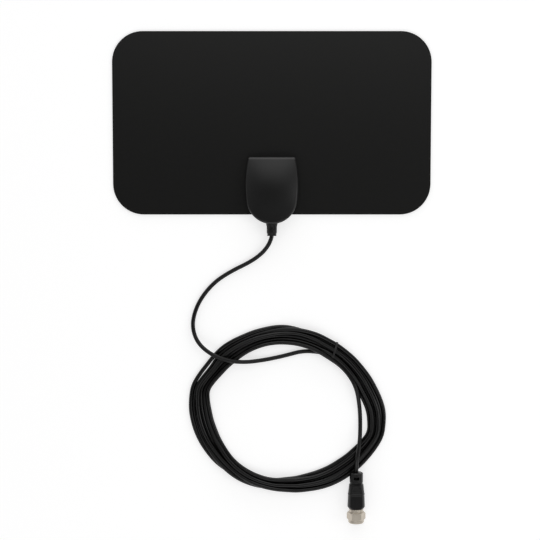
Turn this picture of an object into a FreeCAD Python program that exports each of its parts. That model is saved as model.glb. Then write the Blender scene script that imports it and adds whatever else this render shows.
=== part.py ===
import FreeCAD, Part
import math
import os

# A flat indoor TV antenna with its coiled aerial lead and screw-on plug.
# Millimetres, +Z up. The panel lies on its back, with the pod at its lower edge towards -Y.
# The origin is the middle of the panel's back face.

Vec = FreeCAD.Vector
UP = Vec(0, 0, 1)
ALONG = Vec(0, 1, 0)

# Panel: two plastic sheets with the foil aerial between them
panel_width = 213.0
panel_height = 122.0
panel_corner = 20.5
rear_thick = 0.7
front_thick = 0.5
foil_thick = 0.1
panel_top = rear_thick + front_thick
panel_low_y = -panel_height / 2

# Foil aerial: two mirrored loops, each with a strip that leads to the pod
foil_margin = 9.0
foil_split = 8.0
foil_band = 16.0
foil_clear_pod = 8.5
foil_round = 10.0
foil_window_round = 5.0
feed_strip_width = 4.0
feed_pad_radius = 2.5
feed_spacing = 12.0

# Pod: outline in plan, then the heights of its roof
pod_overhang = 6.1
pod_length = 44.6
pod_top_width = 31.2
pod_round = 17.0
pod_join_angle = 7.0
pod_corner = 1.4
pod_wall = 1.6
pod_roof = 1.6
pod_edge_round = 1.3
pod_least_corner = 0.2
pod_low_y = panel_low_y - pod_overhang
pod_top_y = pod_low_y + pod_length
pod_round_y = pod_low_y + pod_round
foil_low_y = pod_top_y + foil_clear_pod

# Roof sections: distance from the pod's top edge, height of the crown, drop at the roof's edge
roof_half_span = 20.0
roof_headroom = 5.0
roof_upward = 0.5
roof_sections = ((-4.0, 4.8, 2.0), (6.0, 9.0, 3.0), (16.0, 10.9, 3.4), (30.0, 11.0, 2.8), (49.0, 10.4, 1.4))

# Rear cover: a tongue that lies flush in the rear sheet's notch
tongue_inset = 1.5
tongue_drop = 9.2
notch_gap = 0.1
seat_gap = 0.1
tongue_top_y = pod_top_y - tongue_drop

# Balun board, clamped between the rear cover's bosses and the posts of the pod
board_thick = 1.0
board_rise = 1.2
board_width = 27.6
board_length = 18.6
board_corner = 1.5
board_back = 3.7
board_low = panel_top + board_rise
board_top = board_low + board_thick
board_top_y = pod_top_y - board_back
board_end_y = board_top_y - board_length

# Screws: small countersunk screws from behind
screw_radius = 1.0
screw_head_radius = 1.9
screw_head_depth = 1.0
screw_sink = 0.2
screw_length = 6.0
screw_spacing = 21.0
screw_drop = 16.0
screw_slot_width = 0.5
screw_slot_depth = 0.6
screw_slot_reach = 1.1
screw_fit = 0.05
screw_hole_fit = 0.2
boss_radius = 2.6
boss_gap = 0.2
screw_y = pod_top_y - screw_drop

# Feed contacts: brass posts from the foil pads up through the board
contact_foot_radius = 2.0
contact_foot_thick = 0.4
contact_radius = 1.0
contact_tip_radius = 0.6
contact_tip_rise = 0.6
contact_fit = 0.05
contact_window_gap = 0.5
contact_back = 5.6
contact_y = pod_top_y - contact_back

# Balun: a two-hole ferrite core with its winding
core_width = 7.0
core_length = 5.0
core_hole_radius = 0.6
core_hole_spacing = 3.4
core_wall = 0.9
core_back = 12.5
core_height = 2 * (core_hole_radius + core_wall)
core_y = pod_top_y - core_back
core_hole_z = board_top + core_height / 2
winding_radius = 0.3
winding_reach = 1.2
winding_bend = 0.7

# Cable and its strain relief
cable_diameter = 2.7
cable_radius = cable_diameter / 2
cable_bend_share = 0.45
dielectric_radius = 0.78
conductor_radius = 0.25
dielectric_lift = 0.02
cable_axis_z = board_top + dielectric_radius + dielectric_lift
jacket_back = 9.0
dielectric_lap = 2.3
conductor_bare = 3.0
jacket_end_y = board_end_y - jacket_back
dielectric_end_y = board_end_y + dielectric_lap
conductor_end_y = dielectric_end_y + conductor_bare

relief_reach = 8.1
relief_root_radius = 3.85
relief_body_radius = 3.4
relief_neck_radius = 2.9
relief_lip_radius = 3.1
relief_lip_length = 1.0
relief_neck_length = 1.1
relief_root_length = 2.2
relief_throat_radius = 3.0
relief_flange_length = 1.4
relief_flange_back = 2.2
relief_slot_depth = 3.2
relief_fit = 0.05
relief_flange_radius = cable_axis_z - rear_thick - relief_fit
relief_bore_fit = 0.03
relief_groove_count = 8
relief_groove_width = 0.55
relief_groove_depth = 0.4
relief_groove_length = 3.6
saddle_rise = 1.3
relief_end_y = pod_low_y - relief_reach

# Lead: corner points of its route from the strain relief to the tie, over the coil on the way
lead_straight = 4.0
lead_route = (
    (0.0, relief_end_y, cable_axis_z),
    (0.0, relief_end_y - lead_straight, cable_axis_z),
    (-1.9, -83.2, 3.6),
    (-6.6, -88.0, 2.6),
    (-15.2, -93.5, 1.6),
    (-27.0, -99.0, 1.4),
    (-38.0, -106.0, 1.4),
    (-46.5, -115.5, 1.4),
    (-51.8, -125.5, 1.5),
    (-54.0, -136.5, 1.7),
    (-50.6, -147.0, 4.2),
    (-42.0, -155.2, 7.2),
    (-30.5, -160.6, 7.2),
    (-18.5, -161.4, 3.4),
    (-6.0, -159.8, 1.4),
    (8.0, -156.9, 1.5),
    (21.0, -153.6, 1.6),
    (33.0, -154.2, 1.7),
)

# Coil: the bundle of turns as one ring, tied at one place
coil_centre_x = 10.0
coil_centre_y = -194.4
coil_turn = -11.0
coil_outer_long = 66.5
coil_outer_short = 56.5
coil_inner_long = 51.5
coil_inner_short = 45.0
coil_height = 5.1
coil_edge_round = 1.3
tie_angle = 50.0
tie_slant = 21.0
tie_width = 1.7
tie_thick = 0.6
tie_gap = 0.3
tie_corner = 0.3
plug_gap = 0.4

# Tail: the straight end of its route in front of the boot
tail_straight = 4.6

# Plug: distances along its axis from the boot's cable end
plug_x = 57.45
plug_start_y = -236.0
plug_axis_z = 5.65
boot_length = 24.8
boot_flex_radius = 4.45
boot_flex_chamfer = 0.5
boot_ring_length = 2.7
boot_slot_length = 1.7
boot_slot_width = 4.0
boot_second_ring_length = 2.2
boot_slot_core = 1.9
boot_groove_length = 1.4
boot_groove_radius = 4.0
boot_shoulder_radius = 4.7
boot_waist_radius = 5.5
boot_waist = 14.4
boot_ridge_length = 0.8
boot_ridge_radius = 5.65
boot_skirt_radius = 5.45
boot_end_radius = 5.8
boot_end_chamfer = 1.4
boot_face_chamfer = 0.8
boot_thumb_half = 4.0
boot_flat_half = 4.5
boot_rib_count = 3
boot_rib_pitch = 1.6
boot_rib_width = 0.6
boot_rib_depth = 0.35
boot_rib_length = 5.6
boot_groove_start = boot_ring_length + boot_slot_length + boot_second_ring_length
boot_shoulder = boot_groove_start + boot_groove_length

nut_gap = 0.2
nut_collar_radius = 4.8
nut_collar_length = 2.1
nut_across_flats = 11.1
nut_hex_length = 5.4
nut_hex_chamfer = 30.0
nut_face_relief = 0.15
nut_nose_radius = 5.4
nut_nose_length = 2.2
nut_nose_chamfer = 0.5
nut_lip_length = 1.5
nut_thread_radius = 4.35
nut_run_fit = 0.08
nut_mouth_chamfer = 0.4
nut_length = nut_collar_length + nut_hex_length + nut_nose_length
nut_start = boot_length + nut_gap

sleeve_radius = 3.3
sleeve_bore = 2.3
sleeve_start = 16.0
sleeve_back_wall = 1.0
sleeve_fit = 0.03
sleeve_flange_radius = 4.05
sleeve_flange_length = 1.2
sleeve_end_play = 0.1
sleeve_end = nut_start + nut_lip_length + sleeve_end_play + sleeve_flange_length

insulator_fit = 0.02
insulator_proud = 0.4
pin_radius = 0.5
pin_collar_radius = 0.9
pin_fit = 0.02
pin_seat = 5.0
pin_recess = 0.5
pin_tip_chamfer = 0.2
insulator_end = sleeve_end + insulator_proud
pin_end = nut_start + nut_length - pin_recess

# Cutters: a size wider than the whole part, how far a cutter overshoots, and what counts as equal
FAR = 400.0
OVER = 1.0
TINY = 1e-6


def box(x0, x1, y0, y1, z0, z1):
    """Block between two corners."""
    return Part.makeBox(x1 - x0, y1 - y0, z1 - z0, Vec(x0, y0, z0))


def prism(wire, z0, z1):
    """Upright solid on a flat outline."""
    face = Part.Face(wire)
    face.translate(Vec(0, 0, z0))
    return face.extrude(Vec(0, 0, z1 - z0))


def rounded_block(x0, x1, y0, y1, z0, z1, corner):
    """Block with its four upright edges rounded."""
    block = box(x0, x1, y0, y1, z0, z1)
    upright = [e for e in block.Edges if abs(e.Vertexes[0].Z - e.Vertexes[-1].Z) > TINY]
    return block.makeFillet(corner, upright)


def post(x, y, z0, z1, radius):
    """Upright round post."""
    return Part.makeCylinder(radius, z1 - z0, Vec(x, y, z0), UP)


def turned(profile, x, z):
    """Round piece about an axis along Y: the profile lists (y, radius) from one end to the other."""
    start, end = profile[0][0], profile[-1][0]
    corners = [Vec(x, start, z)] + [Vec(x + r, y, z) for y, r in profile] + [Vec(x, end, z)]
    corners = [p for i, p in enumerate(corners) if i == 0 or p.distanceToPoint(corners[i - 1]) > TINY]
    face = Part.Face(Part.makePolygon(corners + [corners[0]]))
    return face.revolve(Vec(x, 0, z), ALONG, 360)


def both_sides(shape):
    """A piece and its mirror image across the middle of the panel."""
    return [shape, shape.mirror(Vec(0, 0, 0), Vec(1, 0, 0))]


def pod_outline(inset):
    """Closed outline of the pod in plan, moved inwards by the inset: a straight top, two long
    side arcs and a round bottom that the side arcs meet without a corner."""
    lean = math.radians(pod_join_angle)
    half = pod_top_width / 2
    rise = pod_top_y - pod_round_y
    extra = (half ** 2 + rise ** 2 - pod_round ** 2) / (
        2 * (pod_round - half * math.cos(lean) + rise * math.sin(lean)))
    centre_x = -extra * math.cos(lean)
    centre_y = pod_round_y + extra * math.sin(lean)
    side = pod_round + extra - inset
    bottom = pod_round - inset
    top_y = pod_top_y - inset
    top_angle = math.asin((top_y - centre_y) / side)

    def on_side(angle, sign):
        return Vec(sign * (centre_x + side * math.cos(angle)), centre_y + side * math.sin(angle), 0)

    def side_arc(sign):
        middle = (top_angle - lean) / 2
        return Part.Arc(on_side(top_angle, sign), on_side(middle, sign), on_side(-lean, sign)).toShape()

    low = Vec(0, pod_round_y - bottom, 0)
    top = Part.LineSegment(on_side(top_angle, -1), on_side(top_angle, 1)).toShape()
    round_end = Part.Arc(on_side(-lean, 1), low, on_side(-lean, -1)).toShape()
    return Part.Wire(Part.__sortEdges__([top, side_arc(1), round_end, side_arc(-1)]))


def pod_block(inset, z0, z1):
    """Upright solid on the pod's outline, with the two top corners rounded while there is room."""
    block = prism(pod_outline(inset), z0, z1)
    corner = pod_corner - inset
    if corner > pod_least_corner:
        top_y = pod_top_y - inset
        upright = [e for e in block.Edges if abs(e.Vertexes[0].Z - e.Vertexes[-1].Z) > TINY]
        block = block.makeFillet(corner, [e for e in upright if e.BoundBox.YMin > top_y - pod_least_corner])
    return block


def roof(lower):
    """Solid under the pod's crowned roof, lowered by the given amount: arched sections lofted from the
    top edge to the cable end."""
    wires = []
    for back, crown, drop in roof_sections:
        y = pod_top_y - back
        left = Vec(-roof_half_span, y, crown - drop - lower)
        right = Vec(roof_half_span, y, crown - drop - lower)
        arch = Part.Arc(left, Vec(0, y, crown - lower), right).toShape()
        foot_left = Vec(-roof_half_span, y, -OVER)
        foot_right = Vec(roof_half_span, y, -OVER)
        wires.append(Part.Wire([
            arch,
            Part.LineSegment(right, foot_right).toShape(),
            Part.LineSegment(foot_right, foot_left).toShape(),
            Part.LineSegment(foot_left, left).toShape()]))
    return Part.makeLoft(wires, True, False)


def screw_places():
    """Centres of the two screws in plan."""
    return [(-screw_spacing / 2, screw_y), (screw_spacing / 2, screw_y)]


def contact_places():
    """Centres of the two feed contacts in plan."""
    return [(-feed_spacing / 2, contact_y), (feed_spacing / 2, contact_y)]


def panel_sheet(z0, z1):
    """One sheet of the panel with its rounded corners."""
    half_w, half_h = panel_width / 2, panel_height / 2
    return rounded_block(-half_w, half_w, -half_h, half_h, z0, z1, panel_corner)


def foil_shape(z0, z1):
    """Right-hand half of the foil aerial: a loop, its feed strip and the pad under the contact."""
    left = foil_split / 2
    right = panel_width / 2 - foil_margin
    high = panel_height / 2 - foil_margin
    loop = rounded_block(left, right, foil_low_y, high, z0, z1, foil_round)
    window = rounded_block(left + foil_band, right - foil_band, foil_low_y + foil_band, high - foil_band,
                           z0, z1, foil_window_round)
    feed_x = feed_spacing / 2
    strip = box(feed_x - feed_strip_width / 2, feed_x + feed_strip_width / 2,
                contact_y, foil_low_y + foil_band / 2, z0, z1)
    inner_corner = box(left, left + foil_band, foil_low_y, foil_low_y + foil_band, z0, z1)
    pad = post(feed_x, contact_y, z0, z1, feed_pad_radius)
    return loop.cut(window).fuse([strip, pad, inner_corner]).removeSplitter()


def make_panel():
    """Front sheet, rear sheet and the two foil halves between them."""
    rear = panel_sheet(0, rear_thick)
    notch = pod_block(tongue_inset - notch_gap, -OVER, rear_thick + OVER)
    notch = notch.common(box(-FAR, FAR, -FAR, tongue_top_y + notch_gap, -OVER, rear_thick + OVER))
    foils = both_sides(foil_shape(rear_thick - foil_thick, rear_thick))
    rear = rear.cut([notch] + foils)
    front = panel_sheet(rear_thick, panel_top)
    holes = [post(x, y, 0, panel_top + OVER, boss_radius + boss_gap) for x, y in screw_places()]
    holes += [post(x, y, 0, panel_top + OVER, contact_foot_radius + contact_window_gap)
              for x, y in contact_places()]
    front = front.cut(holes)
    return {"front_sheet": front, "rear_sheet": rear, "right_element": foils[0], "left_element": foils[1]}


def make_pod_front():
    """Crowned shell with posts for the screws, a seat for the panel's edge and a slot for the relief."""
    tall = max(crown for back, crown, drop in roof_sections) + roof_headroom
    outer = pod_block(0, rear_thick, tall).common(roof(0))
    rim = [e for e in outer.Edges if e.BoundBox.ZMin > panel_top + pod_roof
           and e.BoundBox.ZMax < tall - OVER and e.BoundBox.DiagonalLength > pod_corner / 2]
    rim = [e for e in rim
           if any(abs(f.normalAt(0, 0).z) > roof_upward for f in outer.ancestorsOfType(e, Part.Face))]
    outer = outer.makeFillet(pod_edge_round, rim)
    under_roof = roof(pod_roof)
    shell = outer.cut(pod_block(pod_wall, -OVER, tall).common(under_roof))
    posts = [post(x, y, board_top, tall, boss_radius).common(roof(pod_roof / 2)) for x, y in screw_places()]
    shell = shell.fuse(posts)
    pilot_top = screw_sink + screw_length + screw_fit
    pilots = [post(x, y, 0, pilot_top, screw_radius + screw_fit) for x, y in screw_places()]
    seat = box(-FAR, FAR, panel_low_y - seat_gap, FAR, -OVER, panel_top)
    throat = relief_throat_radius + relief_fit
    slot_y0, slot_y1 = pod_low_y - OVER, pod_low_y + relief_slot_depth
    slot = box(-throat, throat, slot_y0, slot_y1, -OVER, cable_axis_z)
    arch = Part.makeCylinder(throat, slot_y1 - slot_y0, Vec(0, slot_y0, cable_axis_z), ALONG)
    return shell.cut(pilots + [seat, slot, arch]).removeSplitter()


def make_pod_rear():
    """Flush rear cover with the screw bosses and the saddle that closes the relief's slot."""
    overhang = pod_block(0, 0, rear_thick).common(
        box(-FAR, FAR, -FAR, panel_low_y - seat_gap, -OVER, rear_thick + OVER))
    tongue = pod_block(tongue_inset, 0, rear_thick).common(
        box(-FAR, FAR, -FAR, tongue_top_y, -OVER, rear_thick + OVER))
    bosses = [post(x, y, 0, board_low, boss_radius) for x, y in screw_places()]
    saddle_top = rear_thick + saddle_rise
    wall = pod_block(0, 0, saddle_top).cut(pod_block(pod_wall, -OVER, saddle_top + OVER))
    half = relief_throat_radius
    saddle = wall.common(box(-half, half, -FAR, pod_low_y + relief_slot_depth, 0, saddle_top))
    throat = Part.makeCylinder(relief_throat_radius + relief_fit, relief_slot_depth + 2 * OVER,
                               Vec(0, pod_low_y - OVER, cable_axis_z), ALONG)
    cover = overhang.fuse([tongue, saddle.cut(throat)] + bosses)
    cuts = []
    for x, y in screw_places():
        cuts.append(post(x, y, -OVER, board_low + OVER, screw_radius + screw_hole_fit))
        cuts.append(post(x, y, -OVER, screw_sink, screw_head_radius + screw_fit))
        cuts.append(Part.makeCone(screw_head_radius + screw_fit, screw_radius + screw_fit, screw_head_depth,
                                  Vec(x, y, screw_sink), UP))
    return cover.cut(cuts).removeSplitter()


def make_screws():
    """Two countersunk screws with a cross recess."""
    screws = []
    for x, y in screw_places():
        head = Part.makeCone(screw_head_radius, screw_radius, screw_head_depth, Vec(x, y, screw_sink), UP)
        shank = post(x, y, screw_sink + screw_head_depth / 2, screw_sink + screw_length, screw_radius)
        reach, half = screw_slot_reach, screw_slot_width / 2
        top = screw_sink + screw_slot_depth
        cross = [box(x - reach, x + reach, y - half, y + half, 0, top),
                 box(x - half, x + half, y - reach, y + reach, 0, top)]
        screws.append(head.fuse(shank).removeSplitter().cut(cross))
    return Part.makeCompound(screws)


def make_board():
    """Balun board with holes for the screws and the feed contacts."""
    half = board_width / 2
    board = rounded_block(-half, half, board_end_y, board_top_y, board_low, board_top, board_corner)
    holes = [post(x, y, 0, board_top + OVER, screw_radius + screw_hole_fit) for x, y in screw_places()]
    holes += [post(x, y, 0, board_top + OVER, contact_tip_radius + contact_fit) for x, y in contact_places()]
    return board.cut(holes)


def make_contacts():
    """Two feed contacts: a foot on the foil pad, a post up to the board and a tip through it."""
    contacts = []
    for x, y in contact_places():
        foot = post(x, y, rear_thick, rear_thick + contact_foot_thick, contact_foot_radius)
        stem = post(x, y, rear_thick, board_low, contact_radius)
        tip = post(x, y, rear_thick, board_top + contact_tip_rise, contact_tip_radius)
        contacts.append(foot.fuse([stem, tip]).removeSplitter())
    return Part.makeCompound(contacts)


def make_core():
    """Two-hole ferrite core standing on the board."""
    half_w, half_l = core_width / 2, core_length / 2
    core = rounded_block(-half_w, half_w, core_y - half_l, core_y + half_l,
                         board_top, board_top + core_height, core_wall / 2)
    start_y = core_y - half_l - OVER
    holes = [Part.makeCylinder(core_hole_radius, core_length + 2 * OVER, Vec(x, start_y, core_hole_z), ALONG)
             for x in (-core_hole_spacing / 2, core_hole_spacing / 2)]
    return core.cut(holes)


def tube(points, radius, bend=None):
    """Round tube along straight runs joined by tangent arcs, with the radii of its arcs and its length.
    Each arc is as large as its two runs allow, unless a bend radius is given."""
    corners = [Vec(*p) for p in points]
    edges, radii = [], []
    here = corners[0]
    length = 0.0
    for before, at, after in zip(corners, corners[1:], corners[2:]):
        into = (at - before).normalize()
        out = (after - at).normalize()
        half_turn = into.getAngle(out) / 2
        run = min(at.distanceToPoint(before), at.distanceToPoint(after))
        cut_back = bend * math.tan(half_turn) if bend else cable_bend_share * run
        arc_radius = cut_back / math.tan(half_turn)
        first, last = at - into * cut_back, at + out * cut_back
        inwards = (out - into).normalize()
        middle = at + inwards * (arc_radius / math.cos(half_turn) - arc_radius)
        edges.append(Part.LineSegment(here, first).toShape())
        edges.append(Part.Arc(first, middle, last).toShape())
        length += here.distanceToPoint(first) + 2 * half_turn * arc_radius
        radii.append(arc_radius)
        here = last
    edges.append(Part.LineSegment(here, corners[-1]).toShape())
    length += here.distanceToPoint(corners[-1])
    path = Part.Wire(edges)
    ring = Part.Wire(Part.makeCircle(radius, corners[0], corners[1] - corners[0]))
    return path.makePipeShell([ring], True, False), radii, length


def make_winding():
    """One turn of wire through both holes of the core, with its ends on the board."""
    x = core_hole_spacing / 2
    back = core_y + core_length / 2 + winding_reach
    front = core_y - core_length / 2 - winding_reach
    wire, radii, length = tube((
        (-x, front, board_top), (-x, front, core_hole_z), (-x, back, core_hole_z),
        (x, back, core_hole_z), (x, front, core_hole_z), (x, front, board_top)), winding_radius, winding_bend)
    return wire


def make_relief():
    """Moulded strain relief: a flange inside the pod, a throat in its wall and a ribbed sleeve outside."""
    lip_y = relief_end_y + relief_lip_length
    neck_y = lip_y + relief_neck_length
    root_y = pod_low_y - relief_root_length
    sleeve = turned((
        (relief_end_y, relief_lip_radius), (lip_y, relief_lip_radius), (lip_y, relief_neck_radius),
        (neck_y, relief_body_radius), (root_y, relief_body_radius), (pod_low_y, relief_root_radius),
        (pod_low_y + pod_wall, relief_root_radius)), 0, cable_axis_z)
    groove_end = pod_low_y - relief_fit
    for i in range(relief_groove_count):
        half = relief_groove_width / 2
        cutter = box(-half, half, groove_end - relief_groove_length, groove_end,
                     relief_body_radius - relief_groove_depth, relief_root_radius + OVER)
        cutter.translate(Vec(0, 0, cable_axis_z))
        cutter.rotate(Vec(0, 0, cable_axis_z), ALONG, (i + 0.5) * 360.0 / relief_groove_count)
        sleeve = sleeve.cut(cutter)
    sleeve = sleeve.cut(pod_block(-relief_fit, -FAR, FAR))
    flange_y = pod_low_y + relief_flange_back
    inner = turned((
        (pod_low_y - relief_root_length, relief_throat_radius), (flange_y, relief_throat_radius),
        (flange_y, relief_flange_radius), (flange_y + relief_flange_length, relief_flange_radius)),
        0, cable_axis_z)
    bore_start = relief_end_y - OVER
    bore_length = flange_y + relief_flange_length + OVER - bore_start
    bore = Part.makeCylinder(cable_radius + relief_bore_fit, bore_length,
                             Vec(0, bore_start, cable_axis_z), ALONG)
    return sleeve.fuse(inner).cut(bore).removeSplitter()


def make_cable_root():
    """Stripped end of the cable inside the pod: jacket, dielectric and centre wire over the board."""
    return turned((
        (relief_end_y, cable_radius), (jacket_end_y, cable_radius), (jacket_end_y, dielectric_radius),
        (dielectric_end_y, dielectric_radius), (dielectric_end_y, conductor_radius),
        (conductor_end_y, conductor_radius)), 0, cable_axis_z)


def tail_route():
    """Corner points of the cable from the coil's inner side over the coil to the boot."""
    return (
        (48.6, -166.0, 1.6),
        (54.6, -175.4, 1.6),
        (58.2, -187.0, 1.5),
        (59.7, -199.4, 1.5),
        (59.9, -210.6, 3.4),
        (59.0, -219.6, 6.9),
        (57.6, -226.8, 6.9),
        (plug_x, plug_start_y + tail_straight, plug_axis_z),
        (plug_x, plug_start_y, plug_axis_z),
    )


def ellipse_wire(long_half, short_half):
    """Flat ellipse about the coil's centre."""
    curve = Part.Ellipse(Vec(0, 0, 0), long_half, short_half)
    wire = Part.Wire(curve.toShape())
    wire.rotate(Vec(0, 0, 0), UP, coil_turn)
    wire.translate(Vec(coil_centre_x, coil_centre_y, 0))
    return wire


def ellipse_reach(long_half, short_half, angle):
    """Distance from the coil's centre to an ellipse in a given direction."""
    across = math.radians(angle - coil_turn)
    return 1 / math.hypot(math.cos(across) / long_half, math.sin(across) / short_half)


def make_coil_and_tie():
    """Ring of turns with rounded edges, and the band that is tied round it."""
    ring = prism(ellipse_wire(coil_outer_long, coil_outer_short), 0, coil_height)
    ring = ring.cut(prism(ellipse_wire(coil_inner_long, coil_inner_short), -OVER, coil_height + OVER))
    rims = [e for e in ring.Edges if abs(e.BoundBox.ZMax - e.BoundBox.ZMin) < TINY]
    ring = ring.makeFillet(coil_edge_round, rims)
    inside = ellipse_reach(coil_inner_long, coil_inner_short, tie_angle)
    outside = ellipse_reach(coil_outer_long, coil_outer_short, tie_angle)
    middle = (inside + outside) / 2
    half = tie_width / 2
    lean = math.radians(tie_slant)
    reach = (outside - inside) / 2 / math.cos(lean) + half * math.tan(lean) + tie_gap
    centre = Vec(coil_centre_x, coil_centre_y, 0)

    def band(grow, low, high):
        block = box(middle - reach - grow, middle + reach + grow, -half, half, low, high)
        along = [e for e in block.Edges if abs(e.BoundBox.YLength - tie_width) < TINY]
        return block.makeFillet(tie_corner + grow, along)

    tie = band(tie_thick, 0, coil_height + tie_gap + 2 * tie_thick)
    tie = tie.cut(band(0, tie_thick, coil_height + tie_gap + tie_thick))
    room = half + tie_gap
    clear = box(middle - reach - OVER, middle + reach + OVER, -room, room, -OVER, tie_thick)
    for shape in (tie, clear):
        shape.rotate(Vec(middle, 0, 0), UP, tie_slant)
        shape.rotate(Vec(0, 0, 0), UP, tie_angle)
        shape.translate(centre)
    plug_room = Part.makeCylinder(boot_flex_radius + plug_gap, boot_length,
                                  Vec(plug_x, plug_start_y + plug_gap - boot_length, plug_axis_z), ALONG)
    return ring.cut([clear, plug_room]), tie


def plug_turned(profile):
    """Round piece on the plug's axis: the profile lists (distance from the boot's cable end, radius)."""
    return turned([(plug_start_y - s, r) for s, r in profile], plug_x, plug_axis_z)


def plug_bore(start, end, radius):
    """Round cutter along the plug's axis."""
    return Part.makeCylinder(radius, end - start, Vec(plug_x, plug_start_y - end, plug_axis_z), ALONG)


def plug_box(start, end, half_width, low, high):
    """Block across the plug's axis, from one height above the axis to another."""
    return box(plug_x - half_width, plug_x + half_width, plug_start_y - end, plug_start_y - start,
               plug_axis_z + low, plug_axis_z + high)


def above_and_below(start, end, half_width, near, far):
    """Two blocks, above and below the plug's axis."""
    return [plug_box(start, end, half_width, near, far), plug_box(start, end, half_width, -far, -near)]


def make_boot():
    """Moulded boot: slotted flexible end, ribbed thumb grip with flat faces, and a skirt towards the nut."""
    ring_end = boot_ring_length
    slot_end = ring_end + boot_slot_length
    ridge_end = boot_waist + boot_ridge_length
    boot = plug_turned((
        (0, boot_flex_radius - boot_flex_chamfer), (boot_flex_chamfer, boot_flex_radius),
        (boot_groove_start, boot_flex_radius), (boot_groove_start, boot_groove_radius),
        (boot_shoulder, boot_groove_radius), (boot_shoulder, boot_shoulder_radius),
        (boot_waist, boot_waist_radius), (boot_waist, boot_ridge_radius), (ridge_end, boot_ridge_radius),
        (ridge_end, boot_skirt_radius), (boot_length - boot_end_chamfer, boot_end_radius),
        (boot_length, boot_end_radius - boot_face_chamfer)))
    reach = 2 * boot_end_radius
    cuts = above_and_below(ring_end, slot_end, boot_slot_width / 2, boot_slot_core, reach)
    cuts += above_and_below(boot_shoulder, boot_waist, reach, boot_thumb_half, reach)
    cuts += above_and_below(boot_waist, boot_length, reach, boot_flat_half, reach)
    for i in range(boot_rib_count):
        start = boot_waist - (i + 1) * boot_rib_pitch
        cuts += above_and_below(start, start + boot_rib_width, boot_rib_length / 2,
                                boot_thumb_half - boot_rib_depth, reach)
    cuts.append(plug_bore(sleeve_start, boot_length + OVER, sleeve_radius + sleeve_fit))
    return boot.cut(cuts).removeSplitter()


def make_nut():
    """Coupling nut: a rear collar, a hexagon with turned chamfers and a round nose, hollow for the thread."""
    hex_start = nut_start + nut_collar_length
    hex_end = hex_start + nut_hex_length
    nut_end = nut_start + nut_length
    corner_radius = nut_across_flats / math.sqrt(3)
    slope = math.tan(math.radians(nut_hex_chamfer))
    depth = (corner_radius - nut_across_flats / 2 + nut_face_relief) * slope
    corners = [Vec(plug_x + corner_radius * math.cos(math.radians(60 * i)), plug_start_y - hex_start,
                   plug_axis_z + corner_radius * math.sin(math.radians(60 * i))) for i in range(7)]
    hexagon = Part.Face(Part.makePolygon(corners)).extrude(Vec(0, -nut_hex_length, 0))
    flat_radius = corner_radius - depth / slope
    hexagon = hexagon.common(plug_turned((
        (hex_start, flat_radius), (hex_start + depth, corner_radius), (hex_end - depth, corner_radius),
        (hex_end, flat_radius))))
    barrel = plug_turned((
        (nut_start, nut_collar_radius), (hex_start, nut_collar_radius), (hex_start, nut_nose_radius),
        (nut_end - nut_nose_chamfer, nut_nose_radius), (nut_end, nut_nose_radius - nut_nose_chamfer)))
    lip_end = nut_start + nut_lip_length
    hollow = [
        plug_bore(nut_start - OVER, lip_end + OVER, sleeve_radius + nut_run_fit),
        plug_bore(lip_end, nut_end + OVER, nut_thread_radius),
        plug_turned(((nut_end - nut_mouth_chamfer, nut_thread_radius),
                     (nut_end + OVER, nut_thread_radius + nut_mouth_chamfer + OVER)))]
    return hexagon.fuse(barrel).removeSplitter().cut(hollow)


def make_sleeve():
    """Metal body of the plug: a tube moulded into the boot, with the flange that keeps the nut on."""
    flange_start = sleeve_end - sleeve_flange_length
    body = plug_turned((
        (sleeve_start, sleeve_radius), (flange_start, sleeve_radius), (flange_start, sleeve_flange_radius),
        (sleeve_end, sleeve_flange_radius)))
    return body.cut(plug_bore(sleeve_start + sleeve_back_wall, sleeve_end + OVER, sleeve_bore))


def make_insulator_and_pin():
    """Round insulator in the plug's body and the centre pin that stands out of it."""
    start = sleeve_start + sleeve_back_wall
    pin_start = sleeve_end - pin_seat
    radius = sleeve_bore - insulator_fit
    insulator = plug_turned(((start, radius), (insulator_end, radius)))
    insulator = insulator.cut(plug_bore(pin_start, insulator_end + OVER, pin_collar_radius + pin_fit))
    pin = plug_turned((
        (pin_start, pin_collar_radius), (insulator_end, pin_collar_radius), (insulator_end, pin_radius),
        (pin_end - pin_tip_chamfer, pin_radius), (pin_end, pin_radius - pin_tip_chamfer)))
    return insulator, pin


def make_cord_tube(name, route):
    """Tube of a free stretch of cable; prints its bend radii and compares its volume with its length."""
    solid, radii, length = tube(route, cable_radius)
    ratio = solid.Volume / (math.pi * cable_radius ** 2 * length)
    print(name, "length", round(length, 1), "volume ratio", round(ratio, 4))
    print(name, "bend radii", [round(r, 1) for r in radii])
    return solid


def make_all():
    """Every piece by its node name."""
    parts = make_panel()
    parts["pod_front"] = make_pod_front()
    parts["pod_rear"] = make_pod_rear()
    parts["pod_screws"] = make_screws()
    parts["balun_board"] = make_board()
    parts["balun_core"] = make_core()
    parts["balun_winding"] = make_winding()
    parts["feed_contacts"] = make_contacts()
    parts["strain_relief"] = make_relief()
    parts["cable_root"] = make_cable_root()
    parts["cable_lead"] = make_cord_tube("cable_lead", lead_route)
    parts["cable_coil"], parts["coil_tie"] = make_coil_and_tie()
    parts["cable_tail"] = make_cord_tube("cable_tail", tail_route())
    parts["plug_boot"] = make_boot()
    parts["plug_sleeve"] = make_sleeve()
    parts["plug_nut"] = make_nut()
    parts["plug_insulator"], parts["plug_pin"] = make_insulator_and_pin()
    return parts


os.makedirs("parts", exist_ok=True)
for node, shape in make_all().items():
    solids = shape.Solids
    if not solids or not shape.isValid():
        raise ValueError(node + " is not a valid solid")
    shape.exportStep(os.path.join("parts", node + ".step"))
    print(node, len(solids), "solid", round(shape.Volume, 2), "mm3")
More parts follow.
